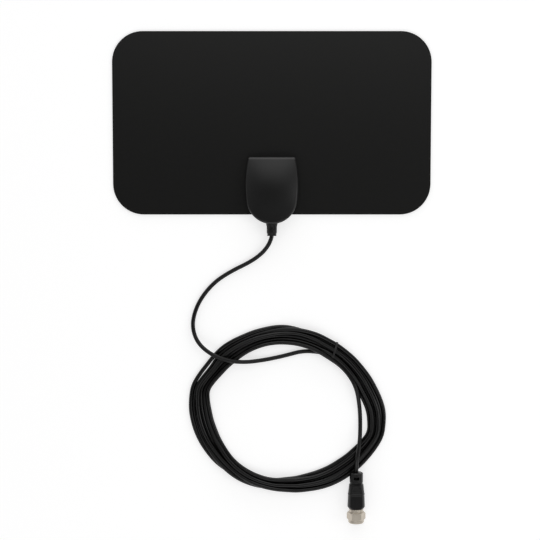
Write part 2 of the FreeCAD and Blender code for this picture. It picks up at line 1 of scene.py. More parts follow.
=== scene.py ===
# %% [markdown]
# # A flat indoor TV antenna, dressed
# The CAD model already holds every solid at its true size and place. This lesson loads it as a fixed
# frame, gives each solid the surface of its real material, and replaces the pieces whose looks need
# more than a solid: the coiled lead, its tie, the strain relief, the boot and the coupling nut.

# %% Load the frame
import math

import bpy
import numpy as np
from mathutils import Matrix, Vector


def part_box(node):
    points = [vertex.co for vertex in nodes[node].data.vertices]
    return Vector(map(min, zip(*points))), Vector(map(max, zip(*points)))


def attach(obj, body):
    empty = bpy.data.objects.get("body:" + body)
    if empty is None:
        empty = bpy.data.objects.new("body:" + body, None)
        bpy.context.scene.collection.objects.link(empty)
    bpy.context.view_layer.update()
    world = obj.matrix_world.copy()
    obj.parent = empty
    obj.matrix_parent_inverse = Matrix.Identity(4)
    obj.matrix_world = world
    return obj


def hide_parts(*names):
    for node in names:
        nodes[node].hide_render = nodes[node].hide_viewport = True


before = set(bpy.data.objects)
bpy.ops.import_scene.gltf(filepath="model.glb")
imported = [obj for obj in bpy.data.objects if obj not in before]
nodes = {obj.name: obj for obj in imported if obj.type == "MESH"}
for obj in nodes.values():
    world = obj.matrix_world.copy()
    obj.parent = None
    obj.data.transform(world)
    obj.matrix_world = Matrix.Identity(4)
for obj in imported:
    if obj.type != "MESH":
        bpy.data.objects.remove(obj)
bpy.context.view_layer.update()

MM = 0.001


# %% [markdown]
# ## Tools for the finishes
# A finish is a small graph of nodes. Colours are easiest to compare with a photograph as sRGB hex
# values, but the shader counts in linear light, so one function converts them. Another adds a node,
# sets it and joins it in a single call. Nearly every material here is two close tones mottled together,
# with a texture that moves the gloss and raises shallow bumps. Two functions take up that repeat, and
# each graph stays short enough to read from top to bottom.

# %% Colour and node tools
# Places of the colour sockets on a Mix node, which gives several sockets the same name
MIX_A, MIX_B, MIX_OUT = 6, 7, 2


def linear(hex_colour):
    """sRGB hex to linear RGBA. Each channel c from 0 to 1 becomes ((c + 0.055) / 1.055) to the power
    2.4, or c / 12.92 where c is below 0.04045."""
    c = np.array([int(hex_colour[i:i + 2], 16) for i in (1, 3, 5)]) / 255
    low = c / 12.92
    high = ((c + 0.055) / 1.055) ** 2.4
    return (*np.where(c < 0.04045, low, high).tolist(), 1.0)


def add(tree, kind, inputs=None, **settings):
    """Adds one node. Settings are its own properties, and inputs are values or other nodes' outputs."""
    node = tree.nodes.new(kind)
    for name, value in settings.items():
        setattr(node, name, value)
    for name, value in (inputs or {}).items():
        if isinstance(value, bpy.types.NodeSocket):
            tree.links.new(value, node.inputs[name])
        else:
            node.inputs[name].default_value = value
    return node


def start_finish(name):
    """An empty material. Returns it, its tree and the place on the piece as Object coordinates."""
    material = bpy.data.materials.new(name)
    material.use_nodes = True
    tree = material.node_tree
    tree.nodes.clear()
    return material, tree, add(tree, "ShaderNodeTexCoord").outputs["Object"]


def end_finish(tree, sockets):
    """Adds the Principled shader with these values and links, and joins it to the output."""
    surface = add(tree, "ShaderNodeBsdfPrincipled", sockets)
    add(tree, "ShaderNodeOutputMaterial", {"Surface": surface.outputs["BSDF"]})


def per_metre(size_mm):
    """Texture scale for features of this size: how many of them fit in one metre."""
    return 1 / (size_mm * MM)


def dress(material, *names):
    """Gives these CAD nodes this material in place of the one that they came with."""
    for name in names:
        nodes[name].data.materials.clear()
        nodes[name].data.materials.append(material)
    print("finish:", material.name, "on", ", ".join(names))


print("mid grey, #808080, is", round(linear("#808080")[0], 3), "in linear light")


# %% Mottle and texture
def mottled(tree, place, size_mm, dark, light, detail):
    """Two colours mixed by noise whose features have this size. Returns the noise and the colour."""
    noise = add(tree, "ShaderNodeTexNoise",
                {"Vector": place, "Scale": per_metre(size_mm), "Detail": detail})
    colour = add(tree, "ShaderNodeMix", {0: noise.outputs["Fac"], MIX_A: dark, MIX_B: light},
                 data_type="RGBA")
    return noise.outputs["Fac"], colour.outputs[MIX_OUT]


def textured(tree, pattern, rough, strength, height_mm):
    """Roughness that follows a pattern from the low to the high value of rough, and the same pattern as
    bumps of this strength and height."""
    level = add(tree, "ShaderNodeMapRange", {"Value": pattern, "To Min": rough[0], "To Max": rough[1]})
    bump = add(tree, "ShaderNodeBump",
               {"Height": pattern, "Strength": strength, "Distance": height_mm * MM})
    return level.outputs["Result"], bump.outputs["Normal"]


# %% [markdown]
# ## Panel sheets
# The panel is two sheets of black PVC film, rolled with a matte grain. To the eye it is almost
# featureless: a dark, even grey that drifts a little in tone, with no clear reflection. A flat colour
# would look like paper, so two scales of noise move the colour and the roughness by a few percent.

# %% Matte PVC sheet
# The true grain is about 0.2 mm, too fine for the picture, so it is drawn 1.3 mm wide.
sheet_grain_mm = 1.3
sheet_drift_mm = 70.0
pvc_sheet, tree, place = start_finish("matte_rolled_pvc_sheet")
_, tone = mottled(tree, place, sheet_drift_mm, linear("#0b0b0b"), linear("#0e0e0d"), detail=2.0)
grain, speckle = mottled(tree, place, sheet_grain_mm, tone, linear("#131312"), detail=3.0)
rough, bump = textured(tree, grain, rough=(0.28, 0.38), strength=0.15, height_mm=0.05)
end_finish(tree, {"Base Color": speckle, "Roughness": rough, "IOR": 1.5, "Normal": bump})
dress(pvc_sheet, "front_sheet", "rear_sheet")

# %% [markdown]
# ## Pod housing
# The pod is moulded ABS from a mould whose steel was spark-eroded to a fine, even texture. Such a
# surface is satin: it shows the softbox as a broad, soft glow and no sharp image.

# %% Moulded ABS
# The true texture is about 0.1 mm, so it is drawn 0.8 mm wide and very shallow.
abs_texture_mm = 0.8
abs_flow_mm = 18.0
pod_abs, tree, place = start_finish("moulded_satin_abs")
_, tone = mottled(tree, place, abs_flow_mm, linear("#0b0b0b"), linear("#111111"), detail=2.0)
texture = add(tree, "ShaderNodeTexNoise",
              {"Vector": place, "Scale": per_metre(abs_texture_mm), "Detail": 2.0})
rough, bump = textured(tree, texture.outputs["Fac"], rough=(0.30, 0.40), strength=0.1, height_mm=0.03)
print("pod texture:", abs_texture_mm, "mm wide")

# %% Painted highlight on the pod's upper edge
# A paler line along the panel is painted on the pod's upper edge as a painted highlight, where the edge
# catches the light from behind. The line is 1 mm from the pod's end and fades out sideways and towards the
# panel.
highlight_from_end_mm, highlight_half_mm, highlight_fade_mm = 1.0, 0.3, 0.35
highlight_low_mm, highlight_high_mm = 4.5, 5.5
line_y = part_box("pod_front")[1][1] - highlight_from_end_mm * MM
spot = add(tree, "ShaderNodeSeparateXYZ", {"Vector": place})
off_line = add(tree, "ShaderNodeMath", {0: spot.outputs["Y"], 1: line_y}, operation="SUBTRACT")
distance = add(tree, "ShaderNodeMath", {0: off_line.outputs["Value"]}, operation="ABSOLUTE")
beside = add(tree, "ShaderNodeMapRange",
             {"Value": distance.outputs["Value"], "From Min": highlight_half_mm * MM,
              "From Max": (highlight_half_mm + highlight_fade_mm) * MM, "To Min": 1.0, "To Max": 0.0})
raised = add(tree, "ShaderNodeMapRange",
             {"Value": spot.outputs["Z"], "From Min": highlight_low_mm * MM, "From Max": highlight_high_mm * MM})
painted_highlight = add(tree, "ShaderNodeMath", {0: beside.outputs["Result"], 1: raised.outputs["Result"]},
             operation="MULTIPLY")
# The pale colour is a painted highlight, mixed in where the edge mask is high.
tone = add(tree, "ShaderNodeMix", {0: painted_highlight.outputs["Value"], MIX_A: tone, MIX_B: linear("#3b3a3a")},
           data_type="RGBA")
end_finish(tree, {"Base Color": tone.outputs[MIX_OUT], "Roughness": rough, "IOR": 1.5, "Normal": bump})
dress(pod_abs, "pod_front", "pod_rear")

# %% [markdown]
# ## Cable jacket
# The jacket is PVC pushed through a round die. It comes out smooth and satin, and handling leaves some
# stretches glossier than others. In a bundle such stretches lie side by side, so one strand shines where
# the next is dull. A pattern in space would treat neighbours alike, so the gloss follows the curve's own
# UV map, which runs along the cable. The stripped end in the pod has no UV map, and its gloss is even.

# %% Extruded PVC jacket
cable_length_mm = 2350.0
jacket_stretch_mm = 60.0
jacket_patch_mm = 22.0
jacket_mottle_mm = 2.5
jacket_pvc, tree, place = start_finish("extruded_pvc_jacket")
_, tone = mottled(tree, place, jacket_patch_mm, linear("#030303"), linear("#080707"), detail=2.0)
along = add(tree, "ShaderNodeSeparateXYZ", {"Vector": add(tree, "ShaderNodeTexCoord").outputs["UV"]})
stretch = add(tree, "ShaderNodeTexNoise",
              {"W": along.outputs["X"], "Scale": cable_length_mm / jacket_stretch_mm, "Detail": 2.0},
              noise_dimensions="1D")
rough = add(tree, "ShaderNodeMapRange",
            {"Value": stretch.outputs["Fac"], "From Min": 0.4, "From Max": 0.6,
             "To Min": 0.10, "To Max": 0.40})
mottle = add(tree, "ShaderNodeTexNoise",
             {"Vector": place, "Scale": per_metre(jacket_mottle_mm), "Detail": 3.0})
bump = add(tree, "ShaderNodeBump",
           {"Height": mottle.outputs["Fac"], "Strength": 0.3, "Distance": 0.06 * MM})
end_finish(tree, {"Base Color": tone, "Roughness": rough.outputs["Result"], "IOR": 1.41,
                  "Normal": bump.outputs["Normal"]})
dress(jacket_pvc, "cable_root")

# %% [markdown]
# ## The lead
# The lead is well over two metres of thin coaxial cable: out of the pod, over the coil, round the tied
# bundle six times and on to the plug. It could be drawn as a ring of tubes, but a real bundle is one
# cable, so it is one curve with a round bevel. The free stretches have points given one by one along the
# photograph. The turns are worked out: the bundle's inner and outer edge were measured round the clock,
# each turn starts in a lane between them, and then the turns sink and push each other aside until they
# lie as a real bundle does.

# %% Free stretches, listed
cable_mm = 2.7
half = cable_mm / 2
relief_end = (0.0, -75.2, 4.2)
lead_mm = np.array([
    relief_end, (-0.7, -78.0, 4.2), (-2.7, -82.2, 3.7), (-6.9, -87.4, 2.7), (-14.6, -93.0, 1.7),
    (-27.0, -99.0, 1.4), (-38.0, -106.0, 1.4), (-46.5, -115.5, 1.4), (-51.8, -125.5, 1.5),
    (-54.0, -136.5, 1.7), (-50.6, -147.0, 4.2), (-42.0, -154.6, 6.6), (-30.5, -159.4, 6.8),
    (-18.5, -160.9, 4.2), (-6.0, -159.8, 1.4), (8.0, -156.9, 1.4), (20.5, -153.4, 1.4),
    (30.5, -153.9, 1.4)])
tail_mm = np.array([
    (43.5, -160.9, 3.8), (48.3, -165.0, 3.5), (52.5, -169.9, 3.8), (55.9, -175.5, 4.1),
    (58.0, -181.6, 3.8), (59.1, -187.9, 2.4), (59.9, -194.4, 1.5), (60.2, -201.0, 1.4),
    (60.1, -209.0, 3.0), (59.3, -217.5, 6.5), (57.8, -226.6, 6.9), (57.45, -231.4, 5.65),
    (57.45, -236.0, 5.65)])
print("free stretches:", len(lead_mm), "and", len(tail_mm), "points")

# %% Edges and lanes of the bundle
# Edges of the bundle in mm from its centre, at each half hour of a clock face from twelve o'clock on
coil_centre_mm = (10.0, -194.4)
inner_mm = np.array([45.5, 45.1, 45.0, 46.4, 47.7, 49.4, 54.0, 56.8, 51.8, 48.3, 46.3, 44.9,
                     44.8, 46.7, 47.7, 48.4, 48.2, 48.8, 50.7, 54.1, 50.1, 48.0, 47.2, 46.4])
outer_mm = np.array([59.0, 58.0, 57.4, 58.5, 60.4, 63.4, 67.5, 68.6, 65.2, 62.6, 60.2, 57.4,
                     55.9, 56.2, 57.8, 59.5, 61.7, 64.2, 66.3, 67.2, 63.8, 62.6, 60.1, 59.1])
# Each turn has 48 corner points, one for each quarter of an hour on the clock face.
turns, quarters, first_quarter = 6, 48, 4
# Lane of the cable as it runs: turns completed since the tie, then 0 at the inner edge to 1 at the outer.
# It changes lanes at the foot of the coil, the edge lanes a little before the middle ones, so that no slit
# opens. The two outermost strands swap once more at the top, and the next one leans out to close the gap.
# The first turn leaves room for the tail, which runs along the inner edge, and the end climbs over the
# start.
lane_turn = (0.0, 0.04, 0.08, 0.115, 0.36, 0.50, 1.42, 1.56, 1.90, 1.985, 2.90, 2.985,
             3.40, 3.55, 3.87, 3.94, 4.0, 4.44, 4.58, 5.36, 5.50)
lane_place = (0.1, 0.3, 0.27, 0.0, 0.0, 0.4, 0.4, 1.0, 1.0, 0.8, 0.8, 1.0,
              1.0, 0.6, 0.6, 0.7, 0.6, 0.6, 0.2, 0.2, 0.0)
climb_turns = 0.12
# The outermost strand stands off from the rest at the upper left, just before ten o'clock.
gap_quarter, gap_quarters, gap_share = 39.6, 1.0, 0.15
room_mm = outer_mm - inner_mm
print("bundle:", round(room_mm.min(), 1), "to", round(room_mm.max(), 1), "mm between its edges")

# %% Turns of the coil, by rule
# Each turn starts a little above the one before it, and sinking stops before the last rounds.
start_lift_mm, sinking_share = 0.6, 0.8
settle_rounds, push_share, sink_mm, hold_share, stiffness = 400, 0.2, 0.02, 0.03, 0.1
nearest_mm = 0.01


def lay_turns():
    """Corner points of all turns, in mm. Each turn starts at inner edge + half a cable + lane x the room
    between the edges. Then, again and again, strands that overlap push each other apart along the line
    between them, sink a little, drift back towards their lanes, and bend as smoothly as their
    neighbours along the cable allow. At last the radius is divided by the cosine of half a step, because
    the smooth curve cuts inside its corner points."""
    step = np.arange(1, turns * quarters + 1)
    clock = (step + first_quarter) % quarters
    half_hour = np.arange(len(inner_mm) + 1)
    inner = np.interp(clock / 2, half_hour, np.append(inner_mm, inner_mm[0]))
    outer = np.interp(clock / 2, half_hour, np.append(outer_mm, outer_mm[0]))
    lane = np.interp(step / quarters, lane_turn, lane_place)
    open_gap = gap_share * np.exp(-((clock - gap_quarter) / gap_quarters) ** 2)
    lane = np.where(lane < 1, lane * (1 - open_gap), lane)
    wanted = inner + half + lane * (outer - inner - cable_mm)
    table = half + cable_mm * np.interp(step / quarters, (turns - climb_turns, turns), (0, 1))
    rest = np.stack([wanted, 0 * wanted], axis=1)
    strand = np.stack([wanted, table + start_lift_mm * ((step - 1) // quarters)], axis=1)
    for settle in range(settle_rounds):
        side_by_side = strand.reshape(turns, quarters, 2)
        apart = side_by_side[:, None] - side_by_side[None, :]
        distance = np.maximum(np.linalg.norm(apart, axis=-1, keepdims=True), nearest_mm)
        push = apart / distance * np.maximum(cable_mm - distance, 0) * (distance > nearest_mm)
        strand = strand + push_share * push.sum(axis=1).reshape(-1, 2)
        strand[:, 0] += hold_share * (wanted - strand[:, 0])
        strand[:, 1] -= sink_mm * (settle < settle_rounds * sinking_share)
        offset = strand - rest
        strand[1:-1] += stiffness * ((offset[:-2] + offset[2:]) / 2 - offset[1:-1])
        strand[:, 0] = np.clip(strand[:, 0], inner + half, outer - half)
        strand[:, 1] = np.maximum(strand[:, 1], table)
    angle = np.pi / 2 - 2 * np.pi * clock / quarters
    radius = strand[:, 0] / np.cos(np.pi / quarters)
    return np.column_stack([coil_centre_mm[0] + radius * np.cos(angle),
                            coil_centre_mm[1] + radius * np.sin(angle), strand[:, 1]])


turns_mm = lay_turns()
top_mm = round(turns_mm[:, 2].max(), 2)
print("turns:", turns, "with", len(turns_mm), "points, highest centre", top_mm, "mm")

# %% One curve for the whole lead
# The tube is drawn a little fuller than the cable, so that strands which lie on each other touch.
fuller = 1.04
route = np.concatenate([lead_mm, turns_mm, tail_mm]) * MM
curve = bpy.data.curves.new("lead", "CURVE")
curve.dimensions = "3D"
spline = curve.splines.new("NURBS")
spline.points.add(len(route) - 1)
spline.points.foreach_set("co", np.column_stack([route, np.ones(len(route))]).ravel())
spline.order_u = 3
spline.use_endpoint_u = True
spline.resolution_u = 8
curve.bevel_depth = half * fuller * MM
curve.bevel_resolution = 6
curve.use_fill_caps = True
curve.materials.append(jacket_pvc)
lead = bpy.data.objects.new("lead", curve)
bpy.context.scene.collection.objects.link(lead)
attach(lead, "antenna")
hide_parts("cable_lead", "cable_coil", "cable_tail")
print("lead:", len(route), "points on one curve")

# %% [markdown]
# ## Meshes from grids
# The other new pieces are skins: a grid of points, worked out as one array, whose rows are rings round
# the piece. A mesh could also be built face by face, but the whole array at once is faster and shorter.
# The enclosed volume tells whether the faces look outwards, and turns them round if they don't.

# %% Skin of a grid
# Edges that bend by more than this stay sharp, and all others are shaded smooth.
sharp_degrees = 50


def skin(name, rings, material, body, node, close_rows=False):
    """Mesh over rings of points, shape (rows, columns, 3) in mm. Each cell between two rows and two
    columns is a face. The first and last ring are capped, or joined to each other if close_rows."""
    rows, columns = rings.shape[:2]
    index = np.arange(rows * columns).reshape(rows, columns)
    below = index if close_rows else index[:-1]
    above = np.roll(index, -1, axis=0)[:len(below)]
    cells = np.stack([below, np.roll(below, -1, axis=1), np.roll(above, -1, axis=1), above], axis=-1)
    cells = cells.reshape(-1, 4)
    points = rings.reshape(-1, 3)
    corner = points[cells] - points.mean(axis=0)
    volume = np.einsum("ij,ij->i", corner[:, 0], np.cross(corner[:, 1], corner[:, 2])).sum()
    volume += np.einsum("ij,ij->i", corner[:, 0], np.cross(corner[:, 2], corner[:, 3])).sum()
    faces = cells.tolist()
    if not close_rows:
        faces += [index[0, ::-1].tolist(), index[-1].tolist()]
    if volume < 0:
        faces = [face[::-1] for face in faces]
    mesh = bpy.data.meshes.new(name)
    mesh.from_pydata((points * MM).tolist(), [], faces)
    mesh.shade_smooth()
    mesh.set_sharp_from_angle(angle=math.radians(sharp_degrees))
    mesh.materials.append(material)
    piece = bpy.data.objects.new(name, mesh)
    bpy.context.scene.collection.objects.link(piece)
    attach(piece, body)
    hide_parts(node)
    print(name, "has", len(mesh.polygons), "faces")
    return piece


# %% Softened profiles
def rounded(stations, values, at, soft_mm):
    """Stepped profile with softened corners: the straight-line profile through the stations, averaged
    about each place with bell-shaped weights as wide as soft_mm."""
    offset = np.linspace(-2, 2, 41)
    weight = np.exp(-offset ** 2)
    nearby = np.interp(np.asarray(at)[:, None] + soft_mm * offset, stations, values)
    return nearby @ weight / weight.sum()


def softer_min(a, b, soft):
    """The smaller of two lengths, blended where they are nearly equal: minus soft times the logarithm of
    the summed exponentials of -a / soft and -b / soft."""
    low = np.minimum(a, b)
    return low - soft * np.log(np.exp((low - a) / soft) + np.exp((low - b) / soft))


# %% [markdown]
# ## Strain relief
# Where the cable leaves the pod, a short sleeve of soft PVC keeps it from kinking. It is moulded with
# grooves along its length, which let it bend, and ends in a small lip. A turned profile with its radius
# lowered in the grooves gives all of that in one formula.

# %% Soft moulded PVC
# Soft PVC from a smooth mould is deep black with a dull, even sheen. Its texture is drawn 1 mm wide.
soft_texture_mm = 1.0
soft_pvc, tree, place = start_finish("moulded_soft_pvc")
texture, tone = mottled(tree, place, soft_texture_mm, linear("#040404"), linear("#080808"), detail=3.0)
rough, bump = textured(tree, texture, rough=(0.40, 0.50), strength=0.1, height_mm=0.05)
end_finish(tree, {"Base Color": tone, "Roughness": rough, "IOR": 1.40, "Normal": bump})
print("finish:", soft_pvc.name)

# %% Ribbed sleeve
# Distances run from the end that sits in the pod. The grooved sleeve narrows, then come a plain neck and
# the lip.
relief_rows, relief_columns = 110, 128
relief_length_mm, relief_top_y, relief_axis_z = 8.6, -66.6, 4.2
relief_at = (0.0, 0.45, 2.6, 6.5, 7.6, 7.61, 8.59, 8.6)
relief_mm = (3.85, 3.85, 3.4, 3.4, 2.9, 3.1, 3.1, 2.9)
relief_grooves, groove_mm, groove_steep = 8, 0.42, 2.2
groove_at, groove_share = (0.0, 0.5, 0.9, 3.9, 4.3, 8.6), (1.0, 1.0, 1.0, 1.0, 0.0, 0.0)
relief_soft_mm, groove_soft_mm = 0.12, 0.15
turn = np.linspace(0, 2 * np.pi, relief_columns, endpoint=False)
reach = np.linspace(0, relief_length_mm, relief_rows)
rib = np.clip(0.5 + groove_steep * np.cos(relief_grooves * turn), 0, 1)
depth = groove_mm * rounded(groove_at, groove_share, reach, groove_soft_mm)[:, None]
radius = rounded(relief_at, relief_mm, reach, relief_soft_mm)[:, None] - depth * (1 - rib)
# Smaller rings close both ends inwards.
radius = np.concatenate([radius[:1] * 0.4, radius, radius[-1:] * 0.75, radius[-1:] * 0.45])
reach = np.concatenate([reach[:1], reach, reach[-1:], reach[-1:]])[:, None] + 0 * turn
rings = np.stack([radius * np.cos(turn), relief_top_y - reach, relief_axis_z + radius * np.sin(turn)],
                 axis=-1)
skin("ribbed_relief", rings, soft_pvc, "antenna", "strain_relief")

# %% [markdown]
# ## Coil tie
# A narrow band holds the bundle at the upper right. It is pulled tight, so its path goes straight from
# one outer strand to the next and round each of them, and its own section is a flat strip with soft edges.

# %% Polyethylene band
# Polyethylene is waxy, so the dark grey band has a broad, weak sheen and is faintly mottled.
tie_mottle_mm = 0.9
tie_plastic, tree, place = start_finish("moulded_polyethylene_band")
_, tone = mottled(tree, place, tie_mottle_mm, linear("#0e0d0d"), linear("#181717"), detail=2.0)
end_finish(tree, {"Base Color": tone, "Roughness": 0.5, "IOR": 1.51})
print("finish:", tie_plastic.name)

# %% A band pulled tight
band_directions = 721


def hug(centres, clearance, count):
    """Closed path round a bundle of round strands, as a band pulled tight lies. In each direction the
    outermost strand carries the band, at its centre plus the clearance. The points are then spread
    evenly along the path."""
    way = np.linspace(0, 2 * np.pi, band_directions)
    outwards = np.stack([np.cos(way), np.sin(way)], axis=1)
    path = centres[np.argmax(outwards @ centres.T, axis=1)] + clearance * outwards
    along = np.insert(np.cumsum(np.linalg.norm(np.diff(path, axis=0), axis=1)), 0, 0)
    even = np.linspace(0, along[-1], count, endpoint=False)
    return np.stack([np.interp(even, along, path[:, 0]), np.interp(even, along, path[:, 1])], axis=1)


def squared(turn, power):
    """Unit rounded square: cosine and sine, each raised to 2 / power with its sign kept."""
    c, s = np.cos(turn), np.sin(turn)
    return np.sign(c) * np.abs(c) ** (2 / power), np.sign(s) * np.abs(s) ** (2 / power)


# %% Band round the bundle
tie_angle, tie_slant = math.radians(51.8), math.radians(21)
tie_width_mm, tie_thick_mm, tie_corner_power = 1.4, 0.35, 4
tie_rows, tie_columns = 200, 28
tie_quarter = round((90 - math.degrees(tie_angle)) / 360 * quarters)
at_tie = turns_mm.reshape(turns, quarters, 3)[:, tie_quarter - first_quarter - 1]
from_centre = np.linalg.norm(at_tie[:, :2] - coil_centre_mm, axis=1)
tie_middle = (from_centre.min() + from_centre.max()) / 2
strands = np.stack([(from_centre - tie_middle) / math.cos(tie_slant), at_tie[:, 2]], axis=1)
path = hug(strands, half + tie_thick_mm / 2, tie_rows)
step = np.roll(path, -1, axis=0) - np.roll(path, 1, axis=0)
step = step / np.linalg.norm(step, axis=1, keepdims=True)
around = np.linspace(0, 2 * np.pi, tie_columns, endpoint=False)
thick, wide = squared(around, tie_corner_power)
lengthways = path[:, :1] + step[:, 1:] * thick * tie_thick_mm / 2
tie_z = path[:, 1:] - step[:, :1] * thick * tie_thick_mm / 2
sideways = wide * tie_width_mm / 2 + 0 * lengthways
lean = tie_angle + tie_slant
middle_x = coil_centre_mm[0] + tie_middle * math.cos(tie_angle)
middle_y = coil_centre_mm[1] + tie_middle * math.sin(tie_angle)
tie_x = middle_x + lengthways * math.cos(lean) - sideways * math.sin(lean)
tie_y = middle_y + lengthways * math.sin(lean) + sideways * math.cos(lean)
rings = np.stack([tie_x, tie_y, tie_z], axis=-1)
tie = skin("bundle_band", rings, tie_plastic, "antenna", "coil_tie", close_rows=True)

# %% [markdown]
# ## Boot of the plug
# The boot is PVC moulded round the cable's end: two flexible rings, a thumb grip with flat faces and
# three fine grooves, a raised ridge, and a skirt that widens towards the nut. Every cross-section is a
# circle with its top and bottom cut flat, so the radius in each direction is the smaller of the circle
# and the flat. Softening that choice rounds the edges as a mould does.

# %% Moulded PVC boot
# PVC from a finely textured mould is black and satin. The texture is drawn 0.7 mm wide.
boot_texture_mm = 0.7
boot_pvc, tree, place = start_finish("moulded_satin_pvc")
texture, tone = mottled(tree, place, boot_texture_mm, linear("#060606"), linear("#0a0a0a"), detail=3.0)
rough, bump = textured(tree, texture, rough=(0.26, 0.36), strength=0.1, height_mm=0.03)
end_finish(tree, {"Base Color": tone, "Roughness": rough, "IOR": 1.41, "Normal": bump})
print("finish:", boot_pvc.name)

# %% Axis of the plug
plug_x, plug_start_y, plug_z = 57.45, -236.0, 5.65
plug_columns = 180


def round_plug(radius, reach, turn):
    """Points about the plug's axis in mm: radius x cosine sideways, radius x sine upwards, and the
    distance from the boot's cable end along the axis."""
    return np.stack([plug_x + radius * np.cos(turn), plug_start_y - reach + 0 * radius,
                     plug_z + radius * np.sin(turn)], axis=-1)


print("plug: axis", plug_z, "mm above the ground at x", plug_x, "mm")

# %% Outline of the boot
# Distances run from the cable end.
boot_length_mm, boot_rows, boot_soft_mm = 24.8, 300, 0.1
circle_at = (0.0, 0.5, 6.6, 6.61, 8.0, 8.01, 14.4, 14.41, 15.2, 15.21, 23.4, 24.8)
circle_mm = (4.0, 4.55, 4.55, 4.35, 4.35, 4.85, 5.6, 5.75, 5.75, 5.6, 5.95, 5.0)
flat_at = (0.0, 6.6, 6.61, 8.0, 8.01, 13.9, 14.6, 15.2, 15.5, 24.8)
flat_mm = (6.0, 6.0, 3.2, 3.2, 4.0, 4.0, 4.34, 4.34, 4.25, 4.5)
# The flat lies at its height / sine of the turn, so the sine is kept off zero.
lowest_sine = 0.01
turn = np.linspace(0, 2 * np.pi, plug_columns, endpoint=False)
reach = np.linspace(0, boot_length_mm, boot_rows)
circle = rounded(circle_at, circle_mm, reach, boot_soft_mm)[:, None]
flat = rounded(flat_at, flat_mm, reach, boot_soft_mm)[:, None]
up = np.maximum(np.abs(np.sin(turn)), lowest_sine)[None, :]
radius = softer_min(circle + 0 * up, flat / up, boot_soft_mm)
print("boot:", boot_length_mm, "mm long, largest radius", round(radius.max(), 2), "mm")

# %% Slots and grip of the boot
# A slot above and below parts the two flexible rings, and the grip is three grooves across each flat.
slot_at, slot_open = (0.0, 2.7, 2.71, 4.4, 4.41, 24.8), (0.0, 0.0, 1.0, 1.0, 0.0, 0.0)
slot_core_mm, slot_half_turn, slot_soft_mm = 1.9, math.radians(23), 0.06
grip_at, grip_half_mm, grip_deep_mm = (9.9, 11.5, 13.1), 0.3, 0.35
grip_reach_mm, grip_fade_mm, grip_soft_mm = 2.8, 0.3, 0.06
slot = rounded(slot_at, slot_open, reach, slot_soft_mm)[:, None] * (np.arccos(up) < slot_half_turn)
radius = radius + slot * np.minimum(slot_core_mm / up - radius, 0)
grip = np.exp(-((reach[:, None, None] - np.array(grip_at)) / grip_half_mm) ** 4).sum(axis=2)
grip = grip * np.clip((grip_reach_mm - np.abs(radius * np.cos(turn))) / grip_fade_mm, 0, 1)
radius = softer_min(radius, (flat - grip_deep_mm * grip) / up, grip_soft_mm)
# Smaller rings close both ends inwards, to the cable and to the sleeve.
start, end = radius[:1], radius[-1:]
radius = np.concatenate([start * 0.4, start * 0.75, radius, end * 0.85, end * 0.66])
reach = np.concatenate([[0, 0], reach, [boot_length_mm, boot_length_mm]])[:, None]
boot = skin("moulded_boot", round_plug(radius, reach, turn), boot_pvc, "antenna",
            "plug_boot")

# %% [markdown]
# ## Coupling nut
# The nut is turned from hexagonal brass bar, threaded inside and plated with nickel, so it is the one
# bright piece. Outside, its radius is the smaller of the hexagon and the turned profile with its
# chamfers. Inside, a thread is a groove whose place along the axis moves on by one pitch per turn. The
# skin runs from the back lip over the outside, into the mouth and back along the thread.

# %% Nickel plate
# Nickel over brass is a warm grey. Turning leaves fine rings about the axis, drawn here 0.35 mm apart.
ring_mm, tarnish_mm = 0.35, 4.0
nickel, tree, place = start_finish("nickel_plated_brass")
squeeze = add(tree, "ShaderNodeMapping", {"Vector": place, "Scale": (0.05, 1.0, 0.05)})
turning = add(tree, "ShaderNodeTexNoise",
              {"Vector": squeeze.outputs["Vector"], "Scale": per_metre(ring_mm), "Detail": 2.0})
_, tone = mottled(tree, place, tarnish_mm, linear("#beb5a8"), linear("#cfc6b9"), detail=3.0)
rough, bump = textured(tree, turning.outputs["Fac"], rough=(0.32, 0.46), strength=0.15, height_mm=0.02)
end_finish(tree, {"Base Color": tone, "Metallic": 1.0, "Roughness": rough, "Normal": bump})
dress(nickel, "plug_sleeve")

# %% Outside of the nut
# Distances run from the boot's cable end, as for the boot.
nut_start, nut_end, flats_mm, outside_rows = 25.0, 34.7, 11.1, 160
turned_at = (25.0, 25.2, 27.1, 27.11, 28.1, 31.5, 32.5, 32.51, 34.1, 34.7)
turned_mm = (4.65, 4.8, 4.8, 5.45, 6.45, 6.45, 5.45, 5.35, 5.35, 4.85)
turned_soft_mm, hexagon_soft_mm = 0.06, 0.07
turn = np.linspace(0, 2 * np.pi, plug_columns, endpoint=False)[None, :]
outside = np.linspace(nut_start, nut_end, outside_rows)
profile = rounded(turned_at, turned_mm, outside, turned_soft_mm)[:, None]
hexagon = flats_mm / 2 / np.cos(turn % (np.pi / 3) - np.pi / 6)
outer = softer_min(profile + 0 * turn, hexagon + 0 * profile, hexagon_soft_mm)
print("nut:", round(2 * outer.max(), 1), "mm across its corners")

# %% Thread inside the nut
# The thread is 3/8 inch with 32 turns to the inch, and fades out at both ends. It is a zigzag along the
# axis whose crests and roots are cut flat.
lip_middle, lip_end, lip_mm, inside_rows = 25.7, 26.5, 3.38, 200
pitch_mm, thread_mm, flank_steep, flank_cut = 25.4 / 32, 0.4, 1.4, 0.2
bore_at, bore_mm = (26.5, 34.3, 34.7), (4.35, 4.35, 4.75)
fade_at, fade_share = (26.5, 27.2, 27.8, 33.9, 34.2, 34.7), (0.0, 0.0, 1.0, 1.0, 0.0, 0.0)
bore_soft_mm, mouth_share = 0.05, 0.99
inside = np.linspace(nut_end, lip_end, inside_rows)
bore = rounded(bore_at, bore_mm, inside, bore_soft_mm)[:, None]
fade = rounded(fade_at, fade_share, inside, bore_soft_mm)[:, None]
zigzag = np.abs(2 * ((inside[:, None] / pitch_mm - turn / (2 * np.pi)) % 1) - 1)
